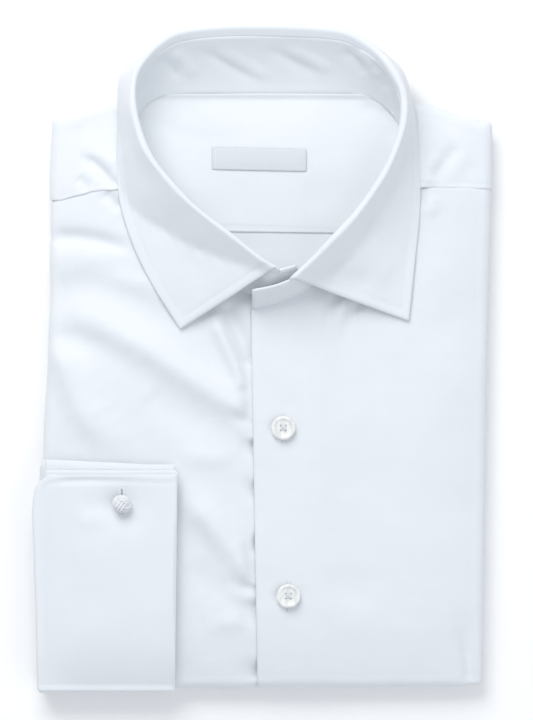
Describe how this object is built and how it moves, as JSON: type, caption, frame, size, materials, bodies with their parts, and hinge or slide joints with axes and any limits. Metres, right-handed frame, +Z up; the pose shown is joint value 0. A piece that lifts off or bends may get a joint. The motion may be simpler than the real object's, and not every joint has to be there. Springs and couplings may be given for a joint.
{
  "type": "long sleeve dress shirt",
  "caption": "Long sleeve dress shirt with a spread collar and French cuffs, folded flat for the shelf, front up.",
  "frame": {"origin": "on the surface it rests on, under the middle of the folded shirt's box", "axes": "+Z up from the resting face, +Y from the hem fold to the collar, +X to the wearer's left"},
  "size_m": [0.2428, 0.3525, 0.0498],
  "materials": {
    "poplin": "fine white cotton poplin with a soft sheen, pressed",
    "poplin_inside": "inside face of the white cotton poplin, matt",
    "label_satin": "woven pale grey satin, bare",
    "silk": "braided off-white silk cord",
    "pearl": "polished mother-of-pearl look"
  },
  "bodies": {
    "root": {"folded_layers": "poplin_inside", "front_right": "poplin", "front_left": "poplin", "yoke_shoulder_right": "poplin", "yoke_shoulder_left": "poplin", "yoke_inner": "poplin_inside", "back_inner": "poplin_inside", "label": "label_satin", "collar_band": "poplin", "collar_fall": "poplin", "button_1": "pearl", "button_2": "pearl", "cuff_right": "poplin", "sleeve_right": "poplin", "cufflink_knot": "silk", "cufflink_knot_under": "silk", "cufflink_cord": "silk"}
  },
  "joints": []
}
